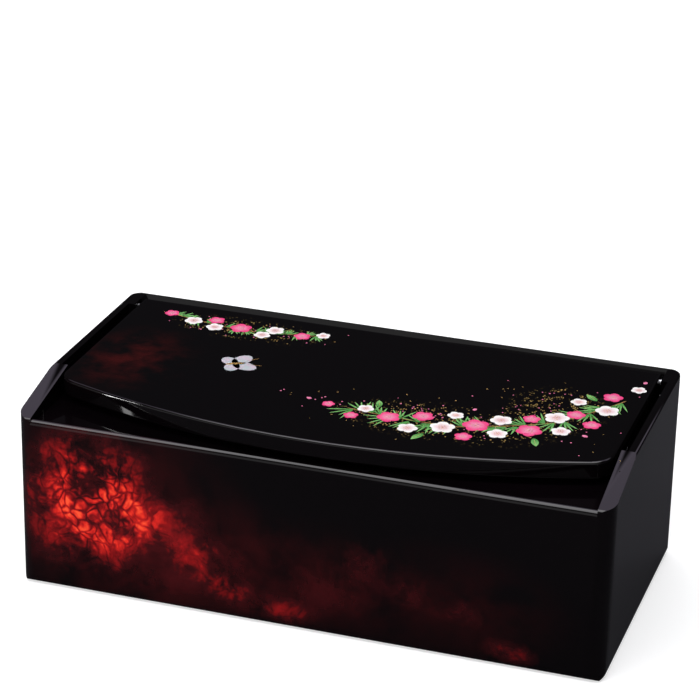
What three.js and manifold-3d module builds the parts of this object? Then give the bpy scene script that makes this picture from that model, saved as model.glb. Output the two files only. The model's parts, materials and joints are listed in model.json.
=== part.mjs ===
// Lacquer tissue box with a hinged, mirrored lid. Millimetres, +Z up, +X to the right, front at -Y.
// The origin is at the middle of the base, on the surface that the box stands on.
import * as THREE from 'three';
import Module from 'manifold-3d';
import { mergeVertices } from 'three/addons/utils/BufferGeometryUtils.js';

const wasm = await Module();
wasm.setup();

// Case
const CASE_WIDTH = 270;
const CASE_DEPTH = 136;
const REAR_TOP = 91;
const SLOPE_DROP = 9.5;
const SLOPE_RUN = 42;
const SIDE_WALL = 7;
const FRONT_WALL = 5;
const REAR_WALL = 4;
const CORNER_RADIUS = 8;
const RIM_LIFT = 0.6;
const LOWER_EDGE_RADIUS = 4;
const UPPER_EDGE_RADIUS = 1.2;
const FRONT_EDGE_RADIUS = 2;
const FRONT_WALL_DROP = 0.5;
const REST_BEVEL_WIDTH = 2.2;
const REST_BEVEL_DEPTH = 4.5;

// Rabbets beside the lid, in the inner half of each side wall
const RABBET_WIDTH = 3;
const RABBET_DEPTH = 6.5;
const HINGE_BOSS_LENGTH = 12;

// Lid
const LID_THICKNESS = 8;
const LID_SIDE_GAP = 1.5;
const LID_REAR_GAP = 0.5;
const LID_FRONT_INSET = 4;
const LID_FRONT_RADIUS = 340;
const LID_CORNER_RADIUS = 12;
const LID_EDGE_RADIUS = 1.2;

// Mirror in the lid's underside
const MIRROR_RIM = 4.5;
const MIRROR_THICKNESS = 2;
const BACKING_THICKNESS = 0.8;
const BACKING_INSET = 6;
const MIRROR_SINK = 0.3;

// Hinge pins
const PIN_RADIUS = 1.5;
const PIN_IN_LID = 5;
const PIN_IN_WALL = 4;
const PIN_CLEARANCE = 0.15;
const PIN_SIDES = 24;

// Inner plate and the cleats that carry it
const PLATE_BELOW_LID = 4;
const PLATE_THICKNESS = 2.5;
const SLOT_LENGTH = 150;
const SLOT_END_RADIUS = 10;
const SLOT_BOW = 9;
const SLOT_REARWARD = 14;
const CLEAT_WIDTH = 5;
const CLEAT_HEIGHT = 6;
const CLEAT_END_MARGIN = 14;

// Bumpers between the lid and the inner plate
const BUMPER_RADIUS = 1.9;
const BUMPER_FROM_CORNER = 22;

// Bottom cover and its feet
const COVER_THICKNESS = 3;
const COVER_SEAT = 3;
const COVER_EDGE = 2.5;
const FINGER_HOLE_RADIUS = 11;
const FINGER_HOLE_REARWARD = 42;
const FOOT_RADIUS = 7;
const FOOT_THICKNESS = 1.2;
const FOOT_FROM_EDGE = 20;

// Clearances
const SEAT_GAP = 0.1;
const SIDE_FIT = 0.3;
const CUT_OVERRUN = 5;

const halfWidth = CASE_WIDTH / 2;
const halfDepth = CASE_DEPTH / 2;
const rearInside = halfDepth - REAR_WALL;
const frontInside = -halfDepth + FRONT_WALL;
const sideInside = halfWidth - SIDE_WALL;
const slopeEnd = -halfDepth + SLOPE_RUN;
const frontTop = REAR_TOP - SLOPE_DROP;
const cavityCorner = Math.max(CORNER_RADIUS - Math.min(SIDE_WALL, FRONT_WALL), 2);

const hingeRadius = LID_THICKNESS / 2;
const lidTop = REAR_TOP;
const lidBottom = lidTop - LID_THICKNESS;
const plateTop = lidBottom - PLATE_BELOW_LID;
const lidHalfWidth = sideInside - LID_SIDE_GAP;
const hingeY = rearInside - LID_REAR_GAP - hingeRadius;
const hingeZ = lidTop - hingeRadius;
const lidFront = -halfDepth + LID_FRONT_INSET;

const mirrorBottom = lidBottom + MIRROR_SINK;
const mirrorTop = mirrorBottom + MIRROR_THICKNESS;
const backingBottom = mirrorTop + SEAT_GAP;
const backingTop = backingBottom + BACKING_THICKNESS;
const recessTop = backingTop + SEAT_GAP;

const coverBottom = FOOT_THICKNESS + SEAT_GAP;
const coverTop = coverBottom + COVER_THICKNESS;
const coverSeatTop = coverTop + SEAT_GAP;

const black = { color: 0x0b0a0c, roughness: 0.08, metalness: 0 };
const finishes = {
  lacquer: new THREE.MeshStandardMaterial(black),
  mirror: new THREE.MeshStandardMaterial({ color: 0xdfe5ea, roughness: 0.02, metalness: 1 }),
  backing: new THREE.MeshStandardMaterial({ color: 0x4a4a4c, roughness: 0.9 }),
  steel: new THREE.MeshStandardMaterial({ color: 0xb9b9bd, roughness: 0.3, metalness: 1 }),
  board: new THREE.MeshStandardMaterial({ color: 0x17161a, roughness: 0.45 }),
  felt: new THREE.MeshStandardMaterial({ color: 0x2a2a2e, roughness: 0.95 }),
};

// Turns a closed three.js geometry into a solid for joining and cutting.
function toSolid(geometry) {
  const bare = geometry.index ? geometry.toNonIndexed() : geometry.clone();
  bare.deleteAttribute('normal');
  bare.deleteAttribute('uv');
  const merged = mergeVertices(bare, 1e-4);
  return new wasm.Manifold(new wasm.Mesh({
    numProp: 3,
    vertProperties: merged.attributes.position.array,
    triVerts: new Uint32Array(merged.index.array),
  }));
}

function toGeometry(solid) {
  const mesh = solid.getMesh();
  const geometry = new THREE.BufferGeometry();
  geometry.setAttribute('position', new THREE.BufferAttribute(mesh.vertProperties, 3));
  geometry.setIndex(new THREE.BufferAttribute(mesh.triVerts, 1));
  geometry.computeVertexNormals();
  return geometry;
}

function piece(name, solid, material) {
  const mesh = new THREE.Mesh(toGeometry(solid), material);
  mesh.name = name;
  return mesh;
}

// A plan outline raised from one height to another.
function raise(shape, low, high, curveSegments = 8) {
  const options = { depth: high - low, bevelEnabled: false, curveSegments };
  return toSolid(new THREE.ExtrudeGeometry(shape, options).translate(0, 0, low));
}

// A side outline, drawn as (y, z), run along X from one side to the other.
function runAlongX(shape, left, right, curveSegments = 8) {
  const options = { depth: right - left, bevelEnabled: false, curveSegments };
  const geometry = new THREE.ExtrudeGeometry(shape, options);
  geometry.applyMatrix4(new THREE.Matrix4().set(
    0, 0, 1, left,
    1, 0, 0, 0,
    0, 1, 0, 0,
    0, 0, 0, 1,
  ));
  return toSolid(geometry);
}

// A front outline, drawn as (x, z), run along Y from front to back.
function runAlongY(shape, front, back, curveSegments = 8) {
  const options = { depth: back - front, bevelEnabled: false, curveSegments };
  const geometry = new THREE.ExtrudeGeometry(shape, options);
  geometry.applyMatrix4(new THREE.Matrix4().set(
    1, 0, 0, 0,
    0, 0, -1, back,
    0, 1, 0, 0,
    0, 0, 0, 1,
  ));
  return toSolid(geometry);
}

// A closed outline through corner points, each rounded by its own radius.
function roundedOutline(corners) {
  const shape = new THREE.Shape();
  corners.forEach(([x, y, radius], i) => {
    const here = new THREE.Vector2(x, y);
    const before = new THREE.Vector2(...corners.at(i - 1));
    const after = new THREE.Vector2(...corners[(i + 1) % corners.length]);
    const back = before.sub(here).normalize();
    const ahead = after.sub(here).normalize();
    const halfAngle = Math.acos(THREE.MathUtils.clamp(back.dot(ahead), -1, 1)) / 2;
    const reach = radius / Math.tan(halfAngle);
    const from = here.clone().addScaledVector(back, reach);
    const to = here.clone().addScaledVector(ahead, reach);
    if (i === 0) shape.moveTo(from.x, from.y);
    else shape.lineTo(from.x, from.y);
    if (radius === 0) return;
    const middle = back.clone().add(ahead).normalize();
    const centre = here.clone().addScaledVector(middle, radius / Math.sin(halfAngle));
    const clockwise = back.cross(ahead) > 0;
    const startAngle = Math.atan2(from.y - centre.y, from.x - centre.x);
    const endAngle = Math.atan2(to.y - centre.y, to.x - centre.x);
    shape.absarc(centre.x, centre.y, radius, startAngle, endAngle, clockwise);
  });
  shape.closePath();
  return shape;
}

function roundedRectangle(left, right, low, high, radius) {
  return roundedOutline([
    [left, low, radius],
    [right, low, radius],
    [right, high, radius],
    [left, high, radius],
  ]);
}

function disc(x, y, radius) {
  const shape = new THREE.Shape();
  shape.absarc(x, y, radius, 0, Math.PI * 2, false);
  return shape;
}

// A round bar along X.
function barAlongX(left, right, y, z, radius) {
  const geometry = new THREE.CylinderGeometry(radius, radius, right - left, PIN_SIDES);
  geometry.rotateZ(Math.PI / 2);
  geometry.translate((left + right) / 2, y, z);
  return toSolid(geometry);
}

// The front of the lid is a shallow arc between two straight sides. Inset draws a smaller copy inside it.
function lidOutline(inset, rear) {
  const radius = LID_FRONT_RADIUS - inset;
  const halfSpan = lidHalfWidth - inset;
  const centreY = lidFront + LID_FRONT_RADIUS;
  const corner = Math.max(LID_CORNER_RADIUS - inset, 2);
  const cornerX = halfSpan - corner;
  const cornerY = centreY - Math.sqrt((radius - corner) ** 2 - cornerX ** 2);
  const meet = Math.atan2(cornerX, centreY - cornerY);
  const shape = new THREE.Shape();
  shape.moveTo(halfSpan, rear);
  shape.lineTo(-halfSpan, rear);
  shape.lineTo(-halfSpan, cornerY);
  shape.absarc(-cornerX, cornerY, corner, Math.PI, Math.PI * 1.5 - meet, false);
  shape.absarc(0, centreY, radius, Math.PI * 1.5 - meet, Math.PI * 1.5 + meet, false);
  shape.absarc(cornerX, cornerY, corner, Math.PI * 1.5 + meet, Math.PI * 2, false);
  shape.closePath();
  return shape;
}

// Case: walls with a sloping front part, hinge bosses, rabbets beside the lid and a seat for the cover
function makeCase() {
  const plan = roundedRectangle(-halfWidth, halfWidth, -halfDepth, halfDepth, CORNER_RADIUS);
  const side = roundedOutline([
    [-halfDepth, RIM_LIFT, LOWER_EDGE_RADIUS],
    [halfDepth, RIM_LIFT, LOWER_EDGE_RADIUS],
    [halfDepth, REAR_TOP, UPPER_EDGE_RADIUS],
    [slopeEnd, REAR_TOP, 0],
    [-halfDepth, frontTop, FRONT_EDGE_RADIUS],
  ]);
  const front = roundedOutline([
    [-halfWidth, RIM_LIFT, LOWER_EDGE_RADIUS],
    [halfWidth, RIM_LIFT, LOWER_EDGE_RADIUS],
    [halfWidth, REAR_TOP, UPPER_EDGE_RADIUS],
    [-halfWidth, REAR_TOP, UPPER_EDGE_RADIUS],
  ]);
  let body = raise(plan, RIM_LIFT, REAR_TOP)
    .intersect(runAlongX(side, -halfWidth, halfWidth))
    .intersect(runAlongY(front, -halfDepth, halfDepth));
  const cavity = roundedRectangle(-sideInside, sideInside, frontInside, rearInside, cavityCorner);
  body = body.subtract(raise(cavity, RIM_LIFT - CUT_OVERRUN, REAR_TOP + CUT_OVERRUN));

  // Between the side walls, the front wall ends in a full round a little below the slope
  const roundZ = frontTop - FRONT_WALL_DROP - FRONT_WALL / 2;
  const above = new THREE.Shape();
  above.moveTo(frontInside, roundZ);
  above.absarc(-halfDepth + FRONT_WALL / 2, roundZ, FRONT_WALL / 2, 0, Math.PI, false);
  above.lineTo(-halfDepth - CUT_OVERRUN, roundZ);
  above.lineTo(-halfDepth - CUT_OVERRUN, REAR_TOP);
  above.lineTo(frontInside + CUT_OVERRUN, REAR_TOP);
  above.lineTo(frontInside + CUT_OVERRUN, roundZ);
  above.closePath();
  body = body.subtract(runAlongX(above, -sideInside, sideInside, 12));

  const seatX = sideInside + COVER_SEAT;
  const seatFront = frontInside - COVER_EDGE;
  const seatRear = rearInside + COVER_EDGE;
  const seat = roundedRectangle(-seatX, seatX, seatFront, seatRear, cavityCorner);
  body = body.subtract(raise(seat, RIM_LIFT - CUT_OVERRUN, coverSeatTop));

  const bevel = new THREE.Shape([
    new THREE.Vector2(rearInside - CUT_OVERRUN, REAR_TOP - REST_BEVEL_DEPTH),
    new THREE.Vector2(rearInside, REAR_TOP - REST_BEVEL_DEPTH),
    new THREE.Vector2(rearInside + REST_BEVEL_WIDTH, REAR_TOP),
    new THREE.Vector2(rearInside + REST_BEVEL_WIDTH, REAR_TOP + CUT_OVERRUN),
    new THREE.Vector2(rearInside - CUT_OVERRUN, REAR_TOP + CUT_OVERRUN),
  ]);
  body = body.subtract(runAlongX(bevel, -sideInside, sideInside));

  const rabbetRear = rearInside - HINGE_BOSS_LENGTH;
  for (const sign of [-1, 1]) {
    const inner = sign * (sideInside - CUT_OVERRUN);
    const outer = sign * (sideInside + RABBET_WIDTH);
    const left = Math.min(inner, outer);
    const right = Math.max(inner, outer);
    const rabbet = roundedRectangle(left, right, slopeEnd, rabbetRear, 0.5);
    body = body.subtract(raise(rabbet, REAR_TOP - RABBET_DEPTH, REAR_TOP + CUT_OVERRUN));
    const holeInner = sign * (sideInside - CUT_OVERRUN);
    const holeOuter = sign * (sideInside + PIN_IN_WALL + PIN_CLEARANCE);
    body = body.subtract(barAlongX(
      Math.min(holeInner, holeOuter),
      Math.max(holeInner, holeOuter),
      hingeY,
      hingeZ,
      PIN_RADIUS + PIN_CLEARANCE,
    ));
  }
  return body;
}

// Lid: a flat panel with a rounded hinge edge and a recess below for the mirror
function makeLid() {
  const profile = new THREE.Shape();
  profile.moveTo(lidFront - CUT_OVERRUN, lidBottom);
  profile.lineTo(hingeY, lidBottom);
  profile.absarc(hingeY, hingeZ, hingeRadius, -Math.PI / 2, Math.PI / 2, false);
  profile.lineTo(lidFront - CUT_OVERRUN, lidTop);
  profile.closePath();
  const outline = lidOutline(LID_EDGE_RADIUS, hingeY + hingeRadius + CUT_OVERRUN);
  const panel = new THREE.ExtrudeGeometry(outline, {
    depth: LID_THICKNESS - 2 * LID_EDGE_RADIUS,
    bevelThickness: LID_EDGE_RADIUS,
    bevelSize: LID_EDGE_RADIUS,
    bevelSegments: 4,
    curveSegments: 24,
  });
  panel.translate(0, 0, lidBottom + LID_EDGE_RADIUS);
  let body = toSolid(panel).intersect(runAlongX(profile, -halfWidth, halfWidth, 12));
  const recess = lidOutline(MIRROR_RIM, hingeY - hingeRadius);
  body = body.subtract(raise(recess, lidBottom - CUT_OVERRUN, recessTop, 24));
  for (const sign of [-1, 1]) {
    const inner = sign * (lidHalfWidth - PIN_IN_LID - PIN_CLEARANCE);
    const outer = sign * (lidHalfWidth + CUT_OVERRUN);
    body = body.subtract(barAlongX(
      Math.min(inner, outer),
      Math.max(inner, outer),
      hingeY,
      hingeZ,
      PIN_RADIUS + PIN_CLEARANCE,
    ));
  }
  return body;
}

function makeInnerPlate() {
  const shape = roundedRectangle(
    -sideInside + SIDE_FIT, sideInside - SIDE_FIT,
    frontInside + SIDE_FIT, rearInside - SIDE_FIT, cavityCorner,
  );
  // Boat-shaped slot: a straight rear edge, round ends and a front edge that bows towards the user
  const endX = SLOT_LENGTH / 2 - SLOT_END_RADIUS;
  const bowRadius = (endX ** 2 + SLOT_BOW ** 2) / (2 * SLOT_BOW);
  const bowAngle = Math.asin(endX / bowRadius);
  const bowCentre = SLOT_REARWARD - SLOT_END_RADIUS - SLOT_BOW + bowRadius;
  const slot = new THREE.Path();
  slot.moveTo(endX, SLOT_REARWARD + SLOT_END_RADIUS);
  slot.absarc(endX, SLOT_REARWARD, SLOT_END_RADIUS, Math.PI / 2, -Math.PI / 2, true);
  slot.absarc(0, bowCentre, bowRadius, -Math.PI / 2 + bowAngle, -Math.PI / 2 - bowAngle, true);
  slot.absarc(-endX, SLOT_REARWARD, SLOT_END_RADIUS, -Math.PI / 2, -Math.PI * 1.5, true);
  slot.closePath();
  shape.holes.push(slot);
  return raise(shape, plateTop - PLATE_THICKNESS, plateTop, 20);
}

// A cleat is a bar glued along a wall, under the inner plate.
function makeCleat(left, right, front, back) {
  const top = plateTop - PLATE_THICKNESS - SEAT_GAP;
  return raise(roundedRectangle(left, right, front, back, 1), top - CLEAT_HEIGHT, top, 4);
}

function makeCover() {
  const x = sideInside + COVER_SEAT - SIDE_FIT;
  const front = frontInside - COVER_EDGE + SIDE_FIT;
  const rear = rearInside + COVER_EDGE - SIDE_FIT;
  const shape = roundedRectangle(-x, x, front, rear, cavityCorner);
  shape.holes.push(disc(0, FINGER_HOLE_REARWARD, FINGER_HOLE_RADIUS));
  return raise(shape, coverBottom, coverTop, 12);
}

const box = new THREE.Group();
box.add(piece('case', makeCase(), finishes.lacquer));
box.add(piece('inner_plate', makeInnerPlate(), finishes.lacquer));

const cleatEndY = rearInside - CLEAT_END_MARGIN;
const cleatFrontY = frontInside + CLEAT_END_MARGIN;
const cleatEndX = sideInside - CLEAT_END_MARGIN;
const cleats = {
  left: [-sideInside + SEAT_GAP, -sideInside + SEAT_GAP + CLEAT_WIDTH, cleatFrontY, cleatEndY],
  right: [sideInside - SEAT_GAP - CLEAT_WIDTH, sideInside - SEAT_GAP, cleatFrontY, cleatEndY],
  front: [-cleatEndX, cleatEndX, frontInside + SEAT_GAP, frontInside + SEAT_GAP + CLEAT_WIDTH],
  rear: [-cleatEndX, cleatEndX, rearInside - SEAT_GAP - CLEAT_WIDTH, rearInside - SEAT_GAP],
};
for (const [place, limits] of Object.entries(cleats)) {
  box.add(piece(`plate_cleat_${place}`, makeCleat(...limits), finishes.board));
}

box.add(piece('lid', makeLid(), finishes.lacquer));
const mirrorRear = hingeY - hingeRadius - SIDE_FIT;
const mirror = raise(lidOutline(MIRROR_RIM + SIDE_FIT, mirrorRear), mirrorBottom, mirrorTop, 24);
box.add(piece('mirror', mirror, finishes.mirror));
const backingRear = mirrorRear - BACKING_INSET;
const backingOutline = lidOutline(MIRROR_RIM + SIDE_FIT + BACKING_INSET, backingRear);
box.add(piece('mirror_backing', raise(backingOutline, backingBottom, backingTop, 24), finishes.backing));

for (const [place, sign] of [['left', -1], ['right', 1]]) {
  const inner = sign * (lidHalfWidth - PIN_IN_LID);
  const outer = sign * (sideInside + PIN_IN_WALL);
  const left = Math.min(inner, outer);
  const right = Math.max(inner, outer);
  box.add(piece(`hinge_pin_${place}`, barAlongX(left, right, hingeY, hingeZ, PIN_RADIUS), finishes.steel));
  const bumperX = sign * (lidHalfWidth - MIRROR_RIM / 2);
  const bumperY = slopeEnd + BUMPER_FROM_CORNER;
  const bumper = raise(disc(bumperX, bumperY, BUMPER_RADIUS), plateTop + SEAT_GAP, lidBottom - SEAT_GAP, 8);
  box.add(piece(`lid_bumper_${place}`, bumper, finishes.felt));
}

box.add(piece('bottom_cover', makeCover(), finishes.board));
for (const [place, x, y] of [
  ['front_left', -1, -1],
  ['front_right', 1, -1],
  ['rear_left', -1, 1],
  ['rear_right', 1, 1],
]) {
  const footX = x * (halfWidth - FOOT_FROM_EDGE);
  const footY = y * (halfDepth - FOOT_FROM_EDGE);
  const foot = raise(disc(footX, footY, FOOT_RADIUS), 0, FOOT_THICKNESS, 8);
  box.add(piece(`foot_${place}`, foot, finishes.felt));
}

export default box;
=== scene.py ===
# Looks of the lacquer tissue box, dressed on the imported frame. Metres, +Z up, front at -Y.
import json
import math
import random

import bmesh
import bpy
from mathutils import Matrix, Vector

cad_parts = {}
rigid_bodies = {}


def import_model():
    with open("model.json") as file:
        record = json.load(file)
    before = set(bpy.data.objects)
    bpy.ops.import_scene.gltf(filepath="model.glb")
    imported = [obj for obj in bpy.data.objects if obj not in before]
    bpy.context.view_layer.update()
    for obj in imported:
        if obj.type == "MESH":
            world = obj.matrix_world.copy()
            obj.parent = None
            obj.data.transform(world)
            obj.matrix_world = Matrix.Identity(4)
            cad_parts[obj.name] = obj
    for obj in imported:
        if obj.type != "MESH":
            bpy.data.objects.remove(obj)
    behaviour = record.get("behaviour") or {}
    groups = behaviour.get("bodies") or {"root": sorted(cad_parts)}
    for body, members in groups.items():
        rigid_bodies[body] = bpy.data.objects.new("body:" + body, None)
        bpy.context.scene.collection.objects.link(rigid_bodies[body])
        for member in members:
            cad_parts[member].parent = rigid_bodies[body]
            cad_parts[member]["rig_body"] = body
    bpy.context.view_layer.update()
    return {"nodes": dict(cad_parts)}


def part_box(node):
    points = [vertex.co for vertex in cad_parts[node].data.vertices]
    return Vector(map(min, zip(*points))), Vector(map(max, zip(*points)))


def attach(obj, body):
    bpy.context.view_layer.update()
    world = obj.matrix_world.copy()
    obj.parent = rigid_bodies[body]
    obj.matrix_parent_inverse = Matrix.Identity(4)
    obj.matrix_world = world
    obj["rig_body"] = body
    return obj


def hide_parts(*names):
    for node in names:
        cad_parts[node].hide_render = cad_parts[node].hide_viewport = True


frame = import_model()
nodes = frame["nodes"]

MM = 0.001

# Camera, from a fit to the box's silhouette in a 700 pixel square photo
CAMERA_PLACE = Vector((0.3346, -1.0409, 0.5719))
CAMERA_AZIMUTH = math.radians(17.95)
CAMERA_ELEVATION = math.radians(23.02)
CAMERA_ROLL = math.radians(1.18)
CAMERA_LENS = 137.5
CAMERA_SENSOR = 36.0

# The case's front and the lid's top, from the frame
FRONT_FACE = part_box("case")[0].y
LID_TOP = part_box("lid")[1].z

# Edges of the CAD pieces sharper than this stay sharp
SHARP_ANGLE = math.radians(32)
# Neighbouring faces flatter than this, and points closer than this, are joined
FLAT_ANGLE = math.radians(0.4)
SAME_POINT = 0.001 * MM

# A painted shape's thickness, and the step from one painted layer to the next
PAINT_THICKNESS = 0.06 * MM
LAYER_STEP = 0.012 * MM

# Layers of paint, counted from the lid's top
LEAF_LAYER = 2
WING_LAYER = 3
BUD_LAYER = 4
VEIN_LAYER = 5
PETAL_LAYER = 6
STAMEN_LAYER = 14

# The red cloud's patches on the front: x, z, half width, half height in mm, and strength
CLOUD_PATCHES = (
    (-100, 50, 46, 42, 1.3), (-86, 36, 30, 26, 0.55), (-114, 24, 32, 24, 0.3),
    (-60, 40, 28, 24, 0.4), (-78, 12, 32, 14, 0.26), (-44, 24, 28, 20, 0.5),
    (-28, 12, 22, 12, 0.44), (-8, 9, 20, 10, 0.4), (26, 40, 20, 16, 0.26),
    (48, 29, 18, 14, 0.28), (70, 24, 18, 13, 0.3), (94, 9, 20, 10, 0.34), (12, 24, 40, 22, 0.2),
)
# Where the cloud's dark seams are deepest, and the dim haze round the cloud, in the same terms
SEAM_PATCHES = ((-98, 47, 46, 40, 1.0),)
HAZE_PATCHES = (
    (-92, 42, 78, 62, 0.95), (-42, 24, 70, 44, 0.75), (8, 26, 60, 34, 0.4), (66, 26, 62, 34, 0.4),
)
# How far behind the front face the cloud has faded out
CLOUD_DEPTH = 6 * MM
# Patches of gold dust on the lid: x, y, half width, half length in mm, and strength
DUST_PATCHES = ((48, -26, 64, 26, 0.9), (92, 4, 30, 34, 0.9), (-66, 42, 52, 18, 0.7))

# Colours that more than one finish uses
BLACK = (0.0014, 0.0009, 0.0012, 1.0)
GOLD = (0.83, 0.56, 0.18, 1.0)
WHITE = (1.0, 1.0, 1.0, 1.0)

rng = random.Random(7)


# Node helpers

class Tree:
    """Short ways to add and link nodes in one node tree."""

    def __init__(self, tree):
        self.tree = tree

    def add(self, kind, **settings):
        node = self.tree.nodes.new(kind)
        for key, value in settings.items():
            setattr(node, key, value)
        return node

    def link(self, source, target):
        self.tree.links.new(source, target)

    def feed(self, target, value):
        """Links a socket, or sets a plain value."""
        if isinstance(value, bpy.types.NodeSocket):
            self.link(value, target)
        else:
            target.default_value = value

    def maths(self, operation, a, b=0.0, clamp=False):
        node = self.add("ShaderNodeMath", operation=operation, use_clamp=clamp)
        self.feed(node.inputs[0], a)
        self.feed(node.inputs[1], b)
        return node.outputs[0]

    def mix(self, factor, a, b):
        node = self.add("ShaderNodeMix", data_type="RGBA")
        self.feed(node.inputs["Factor"], factor)
        self.feed(node.inputs[6], a)
        self.feed(node.inputs[7], b)
        return node.outputs[2]

    def ramp(self, value, low, high):
        """0 at low and beyond it, 1 at high and beyond it, smooth in between."""
        node = self.add("ShaderNodeMapRange", interpolation_type="SMOOTHSTEP")
        self.feed(node.inputs["Value"], value)
        node.inputs["From Min"].default_value = low
        node.inputs["From Max"].default_value = high
        return node.outputs["Result"]

    def tones(self, value, stops):
        """A colour ramp with a stop at each (position, colour), in rising order."""
        node = self.add("ShaderNodeValToRGB")
        self.link(value, node.inputs["Fac"])
        elements = node.color_ramp.elements
        for element, (position, colour) in zip((elements[0], elements[1]), (stops[0], stops[-1])):
            element.position = position
            element.color = colour
        for position, colour in stops[1:-1]:
            elements.new(position).color = colour
        return node.outputs["Color"]

    def noise(self, vector, scale, detail=3.0, roughness=0.5):
        node = self.add("ShaderNodeTexNoise")
        self.link(vector, node.inputs["Vector"])
        node.inputs["Scale"].default_value = scale
        node.inputs["Detail"].default_value = detail
        node.inputs["Roughness"].default_value = roughness
        return node.outputs["Fac"]


def new_material(name):
    """A node material, with the tree and shader that its maker fills in."""
    material = bpy.data.materials.new(name)
    material.use_nodes = True
    return material, Tree(material.node_tree), material.node_tree.nodes["Principled BSDF"]


def new_group(name, inputs, output):
    """An empty node group with named inputs and one number as its output."""
    group = bpy.data.node_groups.new(name, "ShaderNodeTree")
    for title, kind in inputs:
        group.interface.new_socket(title, in_out="INPUT", socket_type=kind)
    group.interface.new_socket(output, in_out="OUTPUT", socket_type="NodeSocketFloat")
    t = Tree(group)
    return group, t, t.add("NodeGroupInput"), t.add("NodeGroupOutput")


def make_patch_group():
    """A soft oval patch: its strength at its centre, 0 from its edge outwards."""
    group, t, source, result = new_group("Soft oval patch", (
        ("Vector", "NodeSocketVector"), ("Centre", "NodeSocketVector"),
        ("Half size", "NodeSocketVector"), ("Strength", "NodeSocketFloat"),
    ), "Mask")
    away = t.add("ShaderNodeVectorMath", operation="SUBTRACT")
    t.link(source.outputs["Vector"], away.inputs[0])
    t.link(source.outputs["Centre"], away.inputs[1])
    scaled = t.add("ShaderNodeVectorMath", operation="DIVIDE")
    t.link(away.outputs[0], scaled.inputs[0])
    t.link(source.outputs["Half size"], scaled.inputs[1])
    reach = t.add("ShaderNodeVectorMath", operation="LENGTH")
    t.link(scaled.outputs[0], reach.inputs[0])
    fade = t.ramp(reach.outputs["Value"], 1.0, 0.0)
    t.link(t.maths("MULTIPLY", fade, source.outputs["Strength"]), result.inputs["Mask"])
    return group


def make_handling_group():
    """Faint dust and wiping marks that vary a surface's roughness."""
    group, t, source, result = new_group("Faint handling marks", (
        ("Vector", "NodeSocketVector"), ("Least", "NodeSocketFloat"), ("Spread", "NodeSocketFloat"),
    ), "Roughness")
    cloud = t.noise(source.outputs["Vector"], 22.0, 4.0, 0.6)
    varied = t.maths("MULTIPLY", t.ramp(cloud, 0.35, 0.8), source.outputs["Spread"])
    t.link(t.maths("ADD", varied, source.outputs["Least"]), result.inputs["Roughness"])
    return group


patch_group = make_patch_group()
handling_group = make_handling_group()


def patches(t, vector, rows):
    """The sum of several soft oval patches, each row (centre, half size, strength)."""
    total = None
    for centre, half_size, strength in rows:
        node = t.add("ShaderNodeGroup", node_tree=patch_group)
        t.link(vector, node.inputs["Vector"])
        node.inputs["Centre"].default_value = centre
        node.inputs["Half size"].default_value = half_size
        node.inputs["Strength"].default_value = strength
        mask = node.outputs["Mask"]
        total = mask if total is None else t.maths("ADD", total, mask)
    return t.maths("MINIMUM", total, 1.0)


def handling(t, vector, least, spread):
    """Roughness from least up to least plus spread, in the pattern of handling marks."""
    node = t.add("ShaderNodeGroup", node_tree=handling_group)
    t.link(vector, node.inputs["Vector"])
    node.inputs["Least"].default_value = least
    node.inputs["Spread"].default_value = spread
    return node.outputs["Roughness"]


def start_lacquer(name):
    """A material whose shader is set as polished black lacquer, with its tree, shader and coordinates."""
    material, t, shader = new_material(name)
    shader.inputs["IOR"].default_value = 1.48
    shader.inputs["Specular IOR Level"].default_value = 0.3
    place = t.add("ShaderNodeTexCoord").outputs["Object"]
    t.link(handling(t, place, 0.035, 0.03), shader.inputs["Roughness"])
    bump = t.add("ShaderNodeBump")
    bump.inputs["Strength"].default_value = 0.05
    bump.inputs["Distance"].default_value = 0.0004
    t.link(t.noise(place, 30.0, 2.0), bump.inputs["Height"])
    t.link(bump.outputs["Normal"], shader.inputs["Normal"])
    return material, t, shader, place


def plain_lacquer():
    """Black lacquer for the inner plate, barely uneven in tone."""
    material, t, shader, place = start_lacquer("Black lacquer")
    depth = t.mix(t.ramp(t.noise(place, 9.0), 0.3, 0.7), BLACK, (0.003, 0.0015, 0.0025, 1.0))
    t.link(depth, shader.inputs["Base Color"])
    return material


def front_patches(t, place, table):
    """Patches on the case's front face, from a table in mm."""
    return patches(t, place, [
        ((x * MM, FRONT_FACE, z * MM), (wide * MM, CLOUD_DEPTH, high * MM), strength)
        for x, z, wide, high, strength in table
    ])


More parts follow.
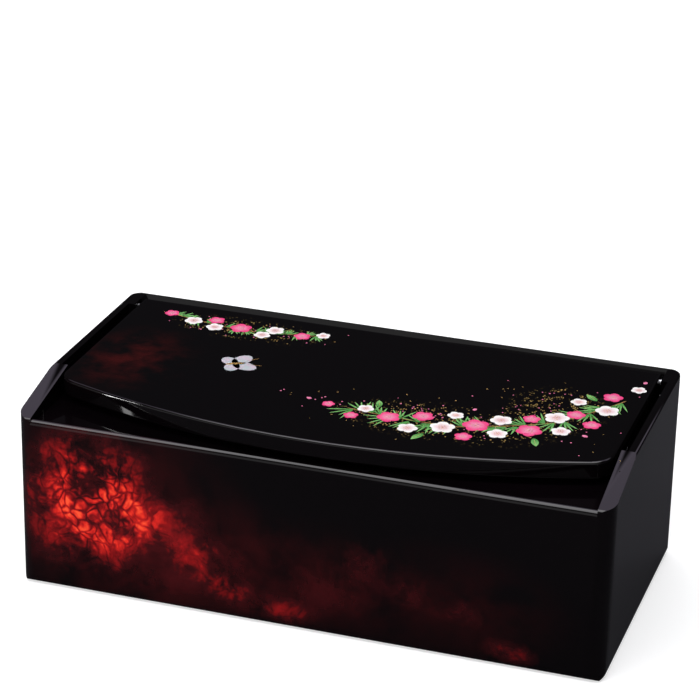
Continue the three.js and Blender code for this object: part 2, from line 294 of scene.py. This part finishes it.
def cloud_lacquer():
    """Black lacquer with a red cloud under its clear top coat, strongest at the left end of the front."""
    material, t, shader, place = start_lacquer("Black lacquer with red cloud")
    cloud = front_patches(t, place, CLOUD_PATCHES)
    core = front_patches(t, place, SEAM_PATCHES)
    haze = front_patches(t, place, HAZE_PATCHES)
    # Cells with dark seams, bent by noise so that no two are alike
    warp = t.add("ShaderNodeTexNoise")
    t.link(place, warp.inputs["Vector"])
    warp.inputs["Scale"].default_value = 60.0
    bend = t.add("ShaderNodeVectorMath", operation="MULTIPLY_ADD")
    t.link(warp.outputs["Color"], bend.inputs[0])
    bend.inputs[1].default_value = (0.02, 0.02, 0.02)
    t.link(place, bend.inputs[2])
    cells = t.add("ShaderNodeTexVoronoi", feature="DISTANCE_TO_EDGE")
    t.link(bend.outputs[0], cells.inputs["Vector"])
    cells.inputs["Scale"].default_value = 175.0
    seams = t.ramp(cells.outputs["Distance"], 0.0, 0.2)
    # Uneven strength, coarse and fine, darkened along the seams
    blotch = t.ramp(t.noise(place, 55.0, 4.0, 0.6), 0.28, 0.72)
    fine = t.ramp(t.noise(bend.outputs[0], 210.0, 3.0, 0.6), 0.25, 0.75)
    body = t.maths("ADD", t.maths("MULTIPLY", blotch, 0.75), t.maths("MULTIPLY", fine, 0.35))
    seam_depth = t.maths("ADD", t.maths("MULTIPLY", core, 0.5), 0.12)
    dark_seams = t.maths("MULTIPLY", t.maths("SUBTRACT", 1.0, seams), seam_depth)
    lined = t.maths("MULTIPLY", body, t.maths("SUBTRACT", 1.0, dark_seams))
    glow = t.maths("MULTIPLY", cloud, lined, clamp=True)
    # From black through maroon and red to orange red
    tones = t.tones(glow, (
        (0.04, BLACK), (0.18, (0.022, 0.0022, 0.003, 1.0)), (0.38, (0.20, 0.005, 0.006, 1.0)),
        (0.58, (0.62, 0.018, 0.012, 1.0)), (0.85, (0.88, 0.085, 0.03, 1.0)),
    ))
    # A dim maroon haze, added on top
    veil = t.maths("MULTIPLY", haze, t.ramp(t.noise(place, 42.0, 4.0, 0.6), 0.25, 0.7))
    stain = t.mix(veil, (0.0, 0.0, 0.0, 1.0), (0.030, 0.0018, 0.0022, 1.0))
    total = t.add("ShaderNodeVectorMath", operation="ADD")
    t.link(tones, total.inputs[0])
    t.link(stain, total.inputs[1])
    t.link(total.outputs[0], shader.inputs["Base Color"])
    return material


def lid_lacquer():
    """Black lacquer with a faint red haze at the left end and fine gold dust round the flower sprays."""
    material, t, shader, place = start_lacquer("Black lacquer with gold dust")
    near = patches(t, place, [
        ((x * MM, y * MM, LID_TOP), (wide * MM, long * MM, 3 * MM), strength)
        for x, y, wide, long, strength in DUST_PATCHES
    ])
    haze = patches(t, place, [((-104 * MM, -8 * MM, LID_TOP), (34 * MM, 44 * MM, 9 * MM), 0.8)])
    broken = t.maths("MULTIPLY", haze, t.ramp(t.noise(place, 60.0, 4.0, 0.6), 0.35, 0.75))
    ground = t.mix(broken, BLACK, (0.050, 0.004, 0.004, 1.0))
    # Small round specks, of which a noise leaves some out
    specks = t.add("ShaderNodeTexVoronoi", feature="F1")
    t.link(place, specks.inputs["Vector"])
    specks.inputs["Scale"].default_value = 780.0
    dot = t.ramp(specks.outputs["Distance"], 0.36, 0.22)
    chosen = t.ramp(t.noise(place, 300.0, 2.0), 0.50, 0.60)
    dust = t.maths("MULTIPLY", t.maths("MULTIPLY", dot, chosen), t.ramp(near, 0.05, 0.6), clamp=True)
    t.link(t.mix(dust, ground, GOLD), shader.inputs["Base Color"])
    t.link(t.maths("MULTIPLY", dust, 0.6), shader.inputs["Metallic"])
    return material


def two_tone(name, low, high, scale, roughness, spread=0.08, metallic=0.0, bump=0.1):
    """A finish that drifts between two colours, with a fine grain."""
    material, t, shader = new_material(name)
    place = t.add("ShaderNodeTexCoord").outputs["Object"]
    drift = t.noise(place, scale, 4.0, 0.6)
    t.link(t.mix(t.ramp(drift, 0.3, 0.7), low, high), shader.inputs["Base Color"])
    t.link(handling(t, place, roughness, spread), shader.inputs["Roughness"])
    shader.inputs["Metallic"].default_value = metallic
    grain = t.add("ShaderNodeBump")
    grain.inputs["Strength"].default_value = bump
    grain.inputs["Distance"].default_value = 0.0002
    t.link(t.noise(place, scale * 12.0, 2.0), grain.inputs["Height"])
    t.link(grain.outputs["Normal"], shader.inputs["Normal"])
    return material


def petal_paint(name, heart, tip):
    """Painted petals that fade from the flower's heart to their tips, which the UV map's U follows."""
    material, t, shader = new_material(name)
    coordinates = t.add("ShaderNodeTexCoord")
    split = t.add("ShaderNodeSeparateXYZ")
    t.link(coordinates.outputs["UV"], split.inputs[0])
    streak = t.noise(coordinates.outputs["Object"], 1400.0, 3.0)
    spread = t.maths("ADD", split.outputs[0], t.maths("MULTIPLY", t.maths("SUBTRACT", streak, 0.5), 0.5))
    t.link(t.mix(t.ramp(spread, 0.15, 0.95), heart, tip), shader.inputs["Base Color"])
    t.link(handling(t, coordinates.outputs["Object"], 0.22, 0.15), shader.inputs["Roughness"])
    return material


finish = {
    "cloud": cloud_lacquer(),
    "plain": plain_lacquer(),
    "lid": lid_lacquer(),
    "mirror": two_tone(
        "Silvered mirror", (0.90, 0.92, 0.93, 1), (0.86, 0.89, 0.91, 1), 6, 0.004, 0.006, 1.0, 0.0,
    ),
    "foam": two_tone("Adhesive foam", (0.20, 0.20, 0.21, 1), (0.14, 0.14, 0.15, 1), 300, 0.75),
    "steel": two_tone("Turned steel", (0.62, 0.62, 0.64, 1), (0.5, 0.5, 0.52, 1), 400, 0.22, 0.1, 1.0),
    "board": two_tone("Satin black board", (0.02, 0.02, 0.022, 1), (0.03, 0.028, 0.03, 1), 120, 0.38, 0.12),
    "felt": two_tone("Black felt", (0.03, 0.03, 0.034, 1), (0.06, 0.06, 0.065, 1), 900, 0.85, 0.1, 0.0, 0.8),
    "pink": petal_paint("Pink petal paint", (0.82, 0.30, 0.48, 1), (0.80, 0.06, 0.22, 1)),
    "white": petal_paint("White petal paint", (0.80, 0.50, 0.56, 1), (0.92, 0.90, 0.90, 1)),
    "leaf": petal_paint("Green leaf paint", (0.07, 0.26, 0.06, 1), (0.22, 0.50, 0.16, 1)),
    "gold": two_tone("Gold powder", GOLD, (0.60, 0.36, 0.09, 1), 900, 0.28, 0.15, 1.0, 0.5),
    "twig": two_tone("Copper brown line", (0.30, 0.14, 0.05, 1), (0.55, 0.32, 0.10, 1), 300, 0.35, 0.1, 0.6),
    "shell": two_tone("Mother-of-pearl", (0.62, 0.80, 0.82, 1), (0.86, 0.70, 0.84, 1), 260, 0.16, 0.1, 0.35),
}


# Carried-over pieces

def merged_copy(node, material):
    """A joined, smooth-shaded copy of a CAD node, which stands for it in the render."""
    source = nodes[node]
    mesh = source.data.copy()
    shape = bmesh.new()
    shape.from_mesh(mesh)
    bmesh.ops.remove_doubles(shape, verts=shape.verts[:], dist=SAME_POINT)
    bmesh.ops.dissolve_limit(shape, angle_limit=FLAT_ANGLE, verts=shape.verts[:], edges=shape.edges[:])
    for face in shape.faces:
        face.smooth = True
    for edge in shape.edges:
        edge.smooth = edge.calc_face_angle(0.0) < SHARP_ANGLE
    shape.to_mesh(mesh)
    shape.free()
    mesh.materials.clear()
    mesh.materials.append(material)
    copy = bpy.data.objects.new(node + "_finished", mesh)
    bpy.context.scene.collection.objects.link(copy)
    even = copy.modifiers.new("Even shading", "WEIGHTED_NORMAL")
    even.keep_sharp = True
    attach(copy, source["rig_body"])
    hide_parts(node)
    return copy


def paint_node(node, material):
    """Gives a CAD node a finish and leaves its shape as it is."""
    nodes[node].data.materials.clear()
    nodes[node].data.materials.append(material)


for name, material_name in (("case", "cloud"), ("lid", "lid"), ("inner_plate", "plain")):
    merged_copy(name, finish[material_name])

for name in nodes:
    if name.startswith("foot_") or name.startswith("lid_bumper"):
        paint_node(name, finish["felt"])
    elif name.startswith("plate_cleat") or name == "bottom_cover":
        paint_node(name, finish["board"])
    elif name.startswith("hinge_pin"):
        paint_node(name, finish["steel"])
paint_node("mirror", finish["mirror"])
paint_node("mirror_backing", finish["foam"])


# Painted decoration on the lid

class Painting:
    """One painted colour: many thin shapes gathered in one mesh on the lid's top."""

    def __init__(self):
        self.shape = bmesh.new()
        self.uv = self.shape.loops.layers.uv.new("petal")

    def oval(self, centre, direction, length, width, heart, reach, layer, point=0.0, sides=14):
        """A thin oval tile. Point draws its far end to a tip. U grows from 0 at heart to 1 at reach."""
        made = bmesh.ops.create_circle(self.shape, cap_ends=True, segments=sides, radius=1.0)
        verts = made["verts"]
        for vert in verts:
            along = vert.co.x
            vert.co.y *= 1.0 - point * max(along, 0.0) ** 2
        turn = Matrix.Rotation(direction, 4, "Z")
        stretch = Matrix.Diagonal((length / 2, width / 2, 1.0, 1.0))
        place = Matrix.Translation((centre.x, centre.y, LID_TOP + LAYER_STEP * (1 + layer)))
        bmesh.ops.transform(self.shape, matrix=place @ turn @ stretch, verts=verts)
        faces = {face for vert in verts for face in vert.link_faces}
        grown = bmesh.ops.extrude_face_region(self.shape, geom=list(faces))
        top = [item for item in grown["geom"] if isinstance(item, bmesh.types.BMVert)]
        bmesh.ops.translate(self.shape, verts=top, vec=(0, 0, PAINT_THICKNESS))
        for vert in verts + top:
            for loop in vert.link_loops:
                away = (Vector((vert.co.x, vert.co.y)) - Vector((heart.x, heart.y))).length
                loop[self.uv].uv = (min(away / reach, 1.0), 0.5)

    def finish(self, name, material):
        """Makes the gathered shapes one piece that rides on the lid."""
        bmesh.ops.recalc_face_normals(self.shape, faces=self.shape.faces[:])
        mesh = bpy.data.meshes.new(name)
        self.shape.to_mesh(mesh)
        self.shape.free()
        mesh.materials.append(material)
        piece = bpy.data.objects.new(name, mesh)
        bpy.context.scene.collection.objects.link(piece)
        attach(piece, "lid_body")


paintings = {colour: Painting() for colour in ("pink", "white", "leaf", "gold", "twig", "shell")}


def spot(x, y):
    """A point on the lid, given in mm."""
    return Vector((x * MM, y * MM))


def toward(angle):
    """A flat vector of length 1 at an angle from +X."""
    return Vector((math.cos(angle), math.sin(angle)))


def blossom(x, y, radius, colour, turn):
    """Five round petals about a heart ringed with gold stamens."""
    centre = spot(x, y)
    size = radius * MM
    petals, stamens = 5, 9
    for step in range(petals):
        angle = turn + step * math.tau / petals
        middle = centre + toward(angle) * size * 0.55
        paintings[colour].oval(middle, angle, size, size * 0.98, centre, size, PETAL_LAYER + step)
    for step in range(stamens):
        angle = turn + step * math.tau / stamens
        middle = centre + toward(angle) * size * (0.24 + 0.1 * (step % 2))
        paintings["gold"].oval(middle, angle, size * 0.10, size * 0.10, middle, size, STAMEN_LAYER, sides=6)
    paintings["gold"].oval(centre, 0.0, size * 0.16, size * 0.16, centre, size, STAMEN_LAYER, sides=8)


def leaf(x, y, length, turn):
    """A pointed leaf with a gold vein, growing from x, y."""
    start = spot(x, y)
    middle = start + toward(turn) * length * MM / 2
    paintings["leaf"].oval(
        middle, turn, length * MM, length * MM * 0.42, start, length * MM, LEAF_LAYER, point=0.85,
    )
    paintings["gold"].oval(middle, turn, length * MM * 0.8, 0.2 * MM, middle, length, VEIN_LAYER, sides=6)


def bud(x, y, size, turn):
    """A closed pink bud."""
    centre = spot(x, y)
    paintings["pink"].oval(
        centre, turn, size * MM, size * MM * 0.7, centre, size * MM, BUD_LAYER, point=0.3,
    )


def twig(points, wide):
    """A painted line through the points, made of short overlapping strokes."""
    strokes = 12
    curve = [Vector(p) * MM for p in points]
    for a, b, c in zip(curve[:-2:2], curve[1:-1:2], curve[2::2]):
        for i in range(strokes):
            t = (i + 0.5) / strokes
            here = a.lerp(b, t).lerp(b.lerp(c, t), t)
            along = (b - a).lerp(c - b, t)
            direction = math.atan2(along.y, along.x)
            length = along.length * 2 / strokes * 1.5
            paintings["twig"].oval(here, direction, length, wide * MM, here, length, i % 2, sides=8)


def tuft(x, y, turn, length):
    """A fan of four narrow blades."""
    blades, apart, wide = 4, 0.34, 0.95 * MM
    start = spot(x, y)
    for step in range(blades):
        spread = (step - (blades - 1) / 2) * apart + rng.uniform(-0.1, 0.1)
        size = length * rng.uniform(0.75, 1.1)
        middle = start + toward(turn + spread) * size * MM / 2
        paintings["leaf"].oval(
            middle, turn + spread, size * MM, wide, start, size * MM, step % 3, point=0.7, sides=8,
        )


def fallen_dots(x, y, wide, long, count):
    """Loose dots of gold and pink, thickest near the middle."""
    for step in range(count):
        here = spot(x + rng.gauss(0, wide), y + rng.gauss(0, long))
        size = rng.uniform(0.5, 0.85) * MM
        paintings["gold" if step % 3 else "pink"].oval(here, 0.0, size, size, here, size, 0, sides=6)


def spray(points, flowers, tuft_length):
    """A twig through the points, tufts of blades all along it, and its flowers."""
    twig_width, tuft_spacing = 0.6, 4.2
    twig(points, twig_width)
    corners = [Vector(p) for p in points]
    for a, b in zip(corners, corners[1:]):
        along = (b - a).normalized()
        tufts = max(int((b - a).length / tuft_spacing), 1)
        for step in range(tufts):
            here = a.lerp(b, (step + 0.5) / tufts)
            side = 1 if rng.random() < 0.5 else -1
            turn = math.atan2(along.y, along.x) + side * rng.uniform(0.5, 1.4)
            tuft(here.x, here.y, turn, tuft_length)
    for x, y, radius, colour in flowers:
        blossom(x, y, radius, colour, rng.uniform(0, math.tau))


def front_right_spray():
    """The large spray. Flowers are x, y, radius and colour, in mm."""
    spray(
        [(118, 24), (108, 8), (96, -8), (78, -20), (56, -28), (32, -30), (6, -26)],
        (
            (112, 26, 4.4, "pink"), (99, 16, 3.6, "white"), (113, 11, 5.2, "white"), (101, 2, 4.2, "pink"),
            (110, -6, 4.0, "pink"), (94, -4, 5.4, "white"), (99, -17, 4.2, "white"), (84, -9, 3.8, "pink"),
            (86, -21, 5.6, "pink"), (74, -29, 4.4, "white"), (72, -15, 4.8, "white"), (63, -24, 5.8, "pink"),
            (61, -37, 3.8, "pink"), (52, -17, 3.6, "white"), (50, -31, 5.4, "white"), (39, -23, 4.6, "pink"),
            (36, -37, 4.4, "white"), (25, -29, 5.0, "pink"), (13, -24, 3.6, "white"), (9, -33, 3.2, "pink"),
            (121, 38, 3.4, "white"), (-4, -25, 2.8, "pink"),
        ),
        tuft_length=11.0,
    )
    for x, y, length, turn in ((90, -28, 8, -1.2), (44, -40, 8, -2.0), (106, 20, 8, 2.4), (18, -20, 7, 1.9)):
        leaf(x, y, length, turn)
    for x, y, size, turn in (
        (-14, -22, 2.6, 2.8), (122, 47, 2.6, 1.4), (110, -18, 2.8, -0.4), (58, -8, 2.4, 1.2),
    ):
        bud(x, y, size, turn)
    fallen_dots(46, -22, 30, 8, 190)
    fallen_dots(88, 4, 14, 14, 110)


def rear_left_spray():
    """The small spray."""
    spray(
        [(-108, 48), (-90, 43), (-70, 40), (-50, 42), (-32, 46)],
        (
            (-107, 48, 3.4, "pink"), (-94, 43, 4.2, "white"), (-84, 47, 3.8, "pink"), (-82, 39, 4.0, "white"),
            (-70, 42, 5.0, "pink"), (-58, 38, 3.8, "white"), (-54, 45, 4.2, "white"), (-40, 43, 3.8, "pink"),
            (-31, 47, 3.2, "white"),
        ),
        tuft_length=6.5,
    )
    fallen_dots(-66, 42, 22, 5, 80)


def shell_moth(x, y, turn):
    """A small winged accent: four wings of shell, brown feelers and a gold body."""
    centre = spot(x, y)
    for side in (-1, 1):
        for angle, length, width in ((0.75, 12.0, 8.0), (2.05, 9.0, 7.0)):
            direction = turn + side * angle
            middle = centre + toward(direction) * length * MM * 0.44
            paintings["shell"].oval(
                middle, direction, length * MM, width * MM, centre, length * MM, WING_LAYER,
            )
        feeler = turn + side * 0.35
        middle = centre + toward(feeler) * 9 * MM
        paintings["twig"].oval(middle, feeler, 8 * MM, 0.35 * MM, middle, 8 * MM, WING_LAYER + 1, sides=6)
    paintings["gold"].oval(centre, turn, 9 * MM, 1.8 * MM, centre, 9 * MM, WING_LAYER + 3)


front_right_spray()
rear_left_spray()
shell_moth(-58, 2, 0.5)
for colour, name in (("pink", "pink_petals"), ("white", "white_petals"), ("leaf", "leaves"),
                     ("gold", "gold_touches"), ("twig", "twigs"), ("shell", "shell_inlay")):
    paintings[colour].finish(name, finish[colour])


# Stage

def make_floor():
    """A pale floor, white to the camera apart from the box's shadow, and dark to reflections."""
    shape = bmesh.new()
    bmesh.ops.create_grid(shape, x_segments=1, y_segments=1, size=3.0)
    mesh = bpy.data.meshes.new("floor")
    shape.to_mesh(mesh)
    shape.free()
    floor = bpy.data.objects.new("floor", mesh)
    bpy.context.scene.collection.objects.link(floor)
    material, t, shader = new_material("Pale floor")
    shader.inputs["Roughness"].default_value = 0.9
    shader.inputs["Emission Color"].default_value = WHITE
    path = t.add("ShaderNodeLightPath")
    t.link(t.maths("MULTIPLY", path.outputs["Is Camera Ray"], 0.56), shader.inputs["Emission Strength"])
    pale, shaded = (0.62, 0.62, 0.63, 1.0), (0.04, 0.04, 0.045, 1.0)
    t.link(t.mix(path.outputs["Is Glossy Ray"], pale, shaded), shader.inputs["Base Color"])
    mesh.materials.append(material)


def area_light(name, place, target, wide, high, power, mirrored=False):
    """A soft lamp. Reflections show it only where mirrored is set."""
    data = bpy.data.lights.new(name, "AREA")
    data.shape = "RECTANGLE"
    data.size = wide
    data.size_y = high
    data.energy = power
    lamp = bpy.data.objects.new(name, data)
    lamp.visible_glossy = mirrored
    lamp.location = place
    lamp.rotation_euler = (Vector(target) - Vector(place)).to_track_quat("-Z", "Y").to_euler()
    bpy.context.scene.collection.objects.link(lamp)


def make_world():
    """White to the camera. Reflections see a dark studio with a pale card low in front, a softbox high
    behind and a bright panel overhead."""
    world = bpy.data.worlds.new("Studio")
    bpy.context.scene.world = world
    world.use_nodes = True
    t = Tree(world.node_tree)
    background = world.node_tree.nodes["Background"]
    sides = t.add("ShaderNodeSeparateXYZ")
    t.link(t.add("ShaderNodeTexCoord").outputs["Generated"], sides.inputs[0])
    pale_card = (0.85, 0.85, 0.86, 1)
    front = t.ramp(sides.outputs["Y"], -0.25, -0.7)
    low = t.ramp(sides.outputs["Z"], 0.75, 0.45)
    card = t.maths("MULTIPLY", front, low)
    studio = t.mix(card, (0.10, 0.10, 0.105, 1), pale_card)
    rear = t.ramp(sides.outputs["Y"], 0.2, 0.45)
    high = t.ramp(sides.outputs["Z"], 0.56, 0.72)
    softbox = t.mix(t.maths("MULTIPLY", rear, high), (0.03, 0.03, 0.034, 1), (1.25, 1.1, 1.4, 1))
    overhead = t.ramp(sides.outputs["Z"], 0.84, 0.90)
    boxes = t.mix(overhead, softbox, (6.0, 5.9, 6.1, 1))
    mirrored = t.mix(card, boxes, pale_card)
    path = t.add("ShaderNodeLightPath")
    others = t.mix(path.outputs["Is Glossy Ray"], studio, mirrored)
    t.link(t.mix(path.outputs["Is Camera Ray"], others, WHITE), background.inputs["Color"])


def make_camera():
    """The camera of the photo: ahead, right and rise are its own axes in the frame."""
    data = bpy.data.cameras.new("camera")
    data.lens = CAMERA_LENS
    data.sensor_width = CAMERA_SENSOR
    a, e = CAMERA_AZIMUTH, CAMERA_ELEVATION
    ahead = Vector((-math.sin(a) * math.cos(e), math.cos(a) * math.cos(e), -math.sin(e)))
    level = Vector((math.cos(a), math.sin(a), 0.0))
    up = level.cross(ahead)
    right = level * math.cos(CAMERA_ROLL) + up * math.sin(CAMERA_ROLL)
    rise = up * math.cos(CAMERA_ROLL) - level * math.sin(CAMERA_ROLL)
    camera = bpy.data.objects.new("camera", data)
    turn = Matrix((right, rise, -ahead)).transposed().to_4x4()
    camera.matrix_world = Matrix.Translation(CAMERA_PLACE) @ turn
    bpy.context.scene.collection.objects.link(camera)
    bpy.context.scene.camera = camera


make_floor()
area_light("rear softbox", (-0.3, 0.85, 1.15), (0, 0, 0.08), 1.5, 0.4, 12)
area_light("front fill", (-0.6, -1.4, 1.3), (0, 0, 0.05), 1.2, 1.2, 3)
area_light("top fill", (0.1, -0.75, 1.25), (0, 0, 0.09), 1.8, 0.3, 15)
area_light("left strip", (-1.3, -0.95, 0.5), (0, 0, 0.05), 0.05, 0.9, 9, mirrored=True)
make_world()
make_camera()
bpy.context.scene.view_settings.view_transform = "Standard"
